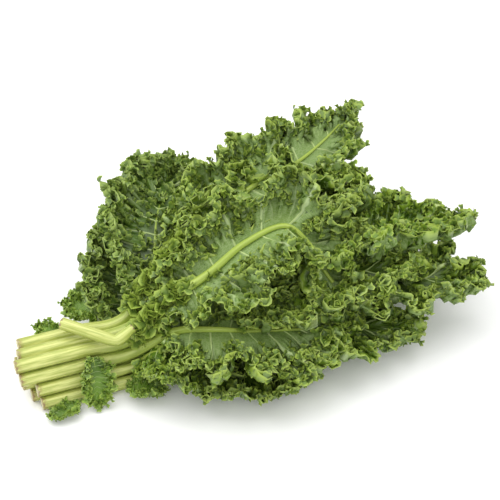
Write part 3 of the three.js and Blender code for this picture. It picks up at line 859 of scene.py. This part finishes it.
FLAKES = flake_tree()
for name, blade in blades.items():
    leaf = LEAVES[name]
    inputs = {
        "Flake": flake, "Seed": leaf["seed"], "Finish": blade_finishes[leaf["tone"]],
        "Flakes per square metre": FLAKES_PER_AREA * leaf["flakes"],
    }
    blades[name] = run_tree(FLAKES, blade, f"{name}_blade_fine", SCATTER, inputs)
for name, leaflet in leaflets.items():
    inputs = {"Flake": flake, "Seed": LEAFLETS[name]["seed"], "Finish": blade_finishes["young"]}
    inputs |= {"Smallest": 0.4, "Largest": 0.9, "Flakes per square metre": 2 * FLAKES_PER_AREA}
    leaflets[name] = run_tree(FLAKES, leaflet, f"{name}_fine", SCATTER, inputs)

# %% [markdown]
# ## Frills along the upper stems
# Where a stem nears its leaf, small frills grow along it and cover it, so that little of the stem
# shows above the neck. The same flakes are scattered over a thin core that hides inside the stem.

# %% Frills on the stems
COVERED = {"leaf_13": (0.30, 0.48), "leaf_14": (0.25, 0.47)}  # shares of the stem's length
CORE_SHARE = 0.7  # of the stem's radius


def join(pieces, name):
    """Several objects joined into one that gets the name."""
    with bpy.context.temp_override(
        active_object=pieces[0], selected_objects=pieces, selected_editable_objects=pieces
    ):
        bpy.ops.object.join()
    pieces[0].name = name
    return pieces[0]


for name, (low, high) in COVERED.items():
    leaf = LEAVES[name]
    share = np.linspace(low, high, 30)
    at, _, _, _ = rib_frame(leaf, share)
    tone = blade_finishes[leaf["tone"]]
    core = tubes(f"{name}_core", [(at, CORE_SHARE * rib_radius(leaf, share), share)], tone)
    nothing = np.zeros(len(core.data.vertices))
    mark(core.data, under=nothing, crest=nothing, frill=nothing + 1)
    inputs = {"Flake": flake, "Seed": leaf["seed"] + 50, "Finish": tone}
    inputs |= {"Smallest": 1.3, "Largest": 2.3, "Flakes per square metre": 5 * FLAKES_PER_AREA}
    frill = run_tree(FLAKES, core, f"{name}_frill", SCATTER, inputs)
    blades[name] = join([blades[name], frill], f"{name}_blade_fine")
bpy.data.objects.remove(flake)


def triangles(pieces):
    return sum(sum(len(face.vertices) - 2 for face in piece.data.polygons) for piece in pieces)


print("triangles of the blades:", {name: triangles([piece]) for name, piece in blades.items()})
print("all blades:", triangles(blades.values()), "leaflets:", triangles(leaflets.values()))

# %% [markdown]
# ## Stem, vein and cut end
# Kale stems are pale yellow-green and streaked along their length, greener where the leaf begins.
# The streaks come from a noise that is squeezed along the stem. A cut end is whitish inside and has
# dried brown at its rim.

# %% Stem material


def stem_finish():
    finish = Finish("kale stem")
    along = finish.attribute("along")
    ring = finish.attribute("ring", output=1)
    long = finish.node("ShaderNodeCombineXYZ", i2=along * 9)
    place = finish.node("ShaderNodeVectorMath", {"operation": "ADD"}, i0=ring, i1=long)
    streak = finish.node("ShaderNodeTexNoise", Vector=place, Scale=2.6, Detail=5.0, Roughness=0.6)
    spot = finish.node("ShaderNodeTexCoord", output=3)
    patch = finish.node("ShaderNodeTexNoise", Vector=spot, Scale=45.0, Detail=3.0)
    speck = finish.node("ShaderNodeTexNoise", Vector=spot, Scale=420.0, Detail=2.0)
    body = finish.blend(finish.soft_step(streak, 0.36, 0.66), colour(158, 170, 74), colour(210, 214, 130))
    body = finish.blend(finish.soft_step(along, 0.05, 0.14) * 0.7, body, colour(150, 178, 58))
    body = finish.blend(finish.soft_step(patch, 0.55, 0.75) * 0.35, body, colour(140, 160, 66))
    old = (1 - finish.soft_step(along, 0.0, 0.006)) * finish.soft_step(speck, 0.35, 0.6)
    body = finish.blend(old * 0.7, body, colour(140, 112, 62))
    height = streak + speck * 0.15
    bump = finish.node("ShaderNodeBump", Strength=0.5, Distance=0.6 * MM, Height=height)
    return finish.use(Base_Color=body, Roughness=0.38, Normal=bump, Coat_Weight=0.12, Coat_Roughness=0.3)


def cut_finish():
    finish = Finish("kale cut end")
    rim = finish.attribute("rim")
    spot = finish.node("ShaderNodeTexCoord", output=3)
    fibre = finish.node("ShaderNodeTexNoise", Vector=spot, Scale=900.0, Detail=3.0)
    patch = finish.node("ShaderNodeTexNoise", Vector=spot, Scale=160.0, Detail=2.0)
    body = finish.blend(fibre, colour(186, 180, 128), colour(226, 222, 184))
    brown = finish.soft_step(rim + patch * 0.5, 0.95, 1.3)
    body = finish.blend(brown * 0.8, body, colour(128, 98, 54))
    bump = finish.node("ShaderNodeBump", Strength=0.7, Distance=0.4 * MM, Height=fibre)
    return finish.use(Base_Color=body, Roughness=0.7, Normal=bump)


def vein_finish():
    finish = Finish("kale side vein")
    spot = finish.node("ShaderNodeTexCoord", output=3)
    patch = finish.node("ShaderNodeTexNoise", Vector=spot, Scale=60.0, Detail=2.0)
    body = finish.blend(patch, colour(150, 176, 92), colour(196, 210, 146))
    return finish.use(Base_Color=body, Roughness=0.45)


STEM, CUT, VEIN = stem_finish(), cut_finish(), vein_finish()
print("materials:", STEM.name, CUT.name, VEIN.name)

# %% [markdown]
# ## Stems with their cut ends
# Each stem is swept along its curve with six soft ridges. Its end gets a slightly domed face of
# its own, a little rough, because a knife never leaves a perfect disc.

# %% Stems
STEM_STEP = 3.5 * MM
CUT_SIDES = 28
# Distance from the axis and height of the cut face, as shares of the stem's radius.
CUT_PROFILE = [
    (0.0, 0.10), (0.35, 0.12), (0.62, 0.07), (0.82, 0.10), (0.97, 0.04), (1.02, -0.06), (0.9, -0.3),
]
CUT_ROUGHNESS = 0.025  # of the height, as a share of the radius
CUT_UNEVENNESS = 0.06  # of the outline, as a share of the radius
rough = np.random.default_rng(7)


def cut_face(name, at, outward, radius):
    """A closed, slightly rough button over the end of a stem."""
    aside = unit(np.cross(outward, UP))
    above = np.cross(aside, outward)
    angle = np.arange(CUT_SIDES) * 2 * np.pi / CUT_SIDES
    ring = np.cos(angle)[:, None] * aside + np.sin(angle)[:, None] * above
    places, rims = [at + outward * radius * CUT_PROFILE[0][1]], [0.0]
    for share, height in CUT_PROFILE[1:]:
        jitter = rough.normal(0, CUT_ROUGHNESS, (CUT_SIDES, 1))
        uneven = 1 + CUT_UNEVENNESS * np.cos(7 * angle + 1)[:, None]
        places += list(at + ring * radius * share * uneven + outward * radius * (height + jitter))
        rims += [share] * CUT_SIDES
    places.append(at + outward * radius * CUT_PROFILE[-1][1])
    rims.append(0.8)
    faces = []
    for k in range(CUT_SIDES):
        n = (k + 1) % CUT_SIDES
        faces.append((0, 1 + k, 1 + n))
        for r in range(len(CUT_PROFILE) - 2):
            a, b = 1 + r * CUT_SIDES, 1 + (r + 1) * CUT_SIDES
            faces.append((a + k, b + k, b + n, a + n))
        last = 1 + (len(CUT_PROFILE) - 2) * CUT_SIDES
        faces.append((last + k, len(places) - 1, last + n))
    mesh = bpy.data.meshes.new(name)
    mesh.from_pydata([(x, y, max(z, 0.0)) for x, y, z in places], [], faces)
    mark(mesh, rim=rims)
    mesh.materials.append(CUT)
    mesh.shade_smooth()
    return put_in_scene(name, mesh)


stems = {}
for name, leaf in LEAVES.items():
    length = leaf["curve"][1][-1]
    share = np.linspace(0, RIB_END, int(length / STEM_STEP))
    at, along, _, _ = rib_frame(leaf, share)
    tube = tubes(f"{name}_stem_fine", [(at, rib_radius(leaf, share), share * length)], STEM)
    button = cut_face(f"{name}_cut", at[0], -along[0], float(rib_radius(leaf, 0.0)))
    stems[name] = join([tube, button], f"{name}_stem_fine")
print("stems:", len(stems), "with", sum(len(o.data.polygons) for o in stems.values()), "faces")

# %% [markdown]
# ## The snapped stem
# One piece of stem has broken off and lies across the bundle, with a kink near its end. It is the
# same tube along its own short path.

# %% Snapped stem
SNAPPED_RADIUS = 5.2 * MM
KINK = 0.72  # share of its length where it bends
curve = smooth_curve((np.array(SNAPPED_PATH, float) - MIDDLE) * MM)
share = np.linspace(0, 1, 50)
at, along = at_share(curve, share)
pinch = 0.12 * np.exp(-(((share - KINK) / 0.04) ** 2))
thick = SNAPPED_RADIUS * (1 - 0.25 * ease(0.8, 1, share) - pinch)
snapped = tubes("snapped_stem_fine", [(at, thick, share * curve[1][-1] + 0.02)], STEM)
ends = [
    cut_face("snapped_near", at[0], -along[0], float(thick[0])),
    cut_face("snapped_far", at[-1], along[-1], float(thick[-1])),
]
snapped = join([snapped, *ends], "snapped_stem_fine")
print("snapped stem is", round(curve[1][-1] / MM), "mm long")

# %% [markdown]
# ## Raised side veins
# The largest veins stand out of the blade, most of all on the underside. They follow the same grid
# as the blade, so they sit exactly in it: each is a line from the rib outwards, swept by the tree.

# %% Side veins
VEIN_REACH = 0.7  # of the way to the margin
VEIN_ROOT = 1.15 * MM
VEIN_TIP = 0.3 * MM
veins = {}
for name, leaf in LEAVES.items():
    grid = leaf["grid"]
    last = int(np.searchsorted(leaf["rows"], VEIN_REACH))
    columns = [round((k + 0.5) / VEINS * COLUMNS / 2) for k in range(VEINS - 1)]
    columns += [COLUMNS - c for c in columns]
    fade = np.linspace(0, 1, last + 1) ** 0.6
    size = min(1.0, leaf["width"] / 50)
    radii = mix(VEIN_ROOT, VEIN_TIP, fade) * size
    lines = [(grid[: last + 1, c], radii, np.zeros(last + 1)) for c in columns]
    veins[name] = tubes(f"{name}_veins", lines, VEIN, **{"Ring sides": 5, "Ridge depth": 0.0})
ribs = {}
for name, leaf in LEAFLETS.items():
    share = np.linspace(0, RIB_END, 24)
    at, _ = at_share(leaf["curve"], share)
    radii = mix(LEAFLET_RIB, 0.4 * MM, share)
    ribs[name] = tubes(f"{name}_rib", [(at, radii, 0.1 + share * 0.05)], STEM, **{"Ring sides": 10})
print("veins:", sum(len(o.data.polygons) for o in veins.values()), "faces")

# %% [markdown]
# ## Handing the pieces over
# Each fine piece takes the place of the solid with its name, and rides on the one body of the frame.

# %% Replace the solids


def hand_over(piece, slot_name, *nodes):
    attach(piece, "root")
    if nodes:
        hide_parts(*nodes)


for name, leaf in LEAVES.items():
    hand_over(stems[name], "stem", f"{name}_stem")
    hand_over(veins[name], "stem")
    hand_over(blades[name], "blade" if leaf["face"] == UP else "underside", f"{name}_blade")
for name in LEAFLETS:
    hand_over(leaflets[name], "leaflet", name)
    hand_over(ribs[name], "stem")
hand_over(snapped, "stem", "snapped_stem")

# %% [markdown]
# ## Floor, light and camera
# The bunch lies on a plain white table in soft light from a large lamp above and behind, with a
# weaker one in front to open up the shadows. The camera looks down on it from the side of the stems.

# %% Floor
FLOOR_SIZE = 8.0
bpy.ops.mesh.primitive_plane_add(size=FLOOR_SIZE, location=(0, 0, -0.0005))
floor = bpy.context.object
floor.name = "floor"
table = Finish("white table")
floor.data.materials.append(table.use(Base_Color=colour(250, 250, 250), Roughness=0.8))
print("floor is", FLOOR_SIZE, "m wide")

# %% Lights
LIGHTS = {
    "key": dict(at=(-0.5, 0.9, 1.6), size=2.0, power=25),
    "fill": dict(at=(-0.9, -1.2, 1.2), size=1.6, power=9),
    "top": dict(at=(0.7, -0.2, 1.8), size=1.2, power=9),
}
for name, lamp in LIGHTS.items():
    data = bpy.data.lights.new(name, "AREA")
    data.size, data.energy = lamp["size"], lamp["power"]
    light = put_in_scene(name, data)
    light.location = lamp["at"]
    light.rotation_mode = "QUATERNION"
    light.rotation_quaternion = (-Vector(lamp["at"])).to_track_quat("-Z", "Y")
world = bpy.data.worlds.new("studio")
world.use_nodes = True
world.node_tree.nodes["Background"].inputs["Color"].default_value = (1, 1, 1, 1)
world.node_tree.nodes["Background"].inputs["Strength"].default_value = 0.8
bpy.context.scene.world = world
bpy.context.scene.view_settings.view_transform = "Standard"
print("lights:", list(LIGHTS))

# %% Camera
AZIMUTH, ELEVATION = math.radians(-36), math.radians(42)  # from the side towards the stems, and up
TARGET = Vector((0.060, 0.060, 0.0))  # the middle of the picture, on the table
DISTANCE = 1.5  # metres from there
VIEW_WIDTH = 0.475  # metres across the picture at the target
camera_data = bpy.data.cameras.new("camera")
camera_data.lens = camera_data.sensor_width * DISTANCE / VIEW_WIDTH
camera = put_in_scene("camera", camera_data)
level = math.cos(ELEVATION)
back = Vector((math.sin(AZIMUTH) * level, -math.cos(AZIMUTH) * level, math.sin(ELEVATION)))
camera.location = TARGET + back * DISTANCE
camera.rotation_mode = "QUATERNION"
camera.rotation_quaternion = (-back).to_track_quat("-Z", "Y")
bpy.context.scene.camera = camera
print("lens in mm:", round(camera_data.lens, 1))
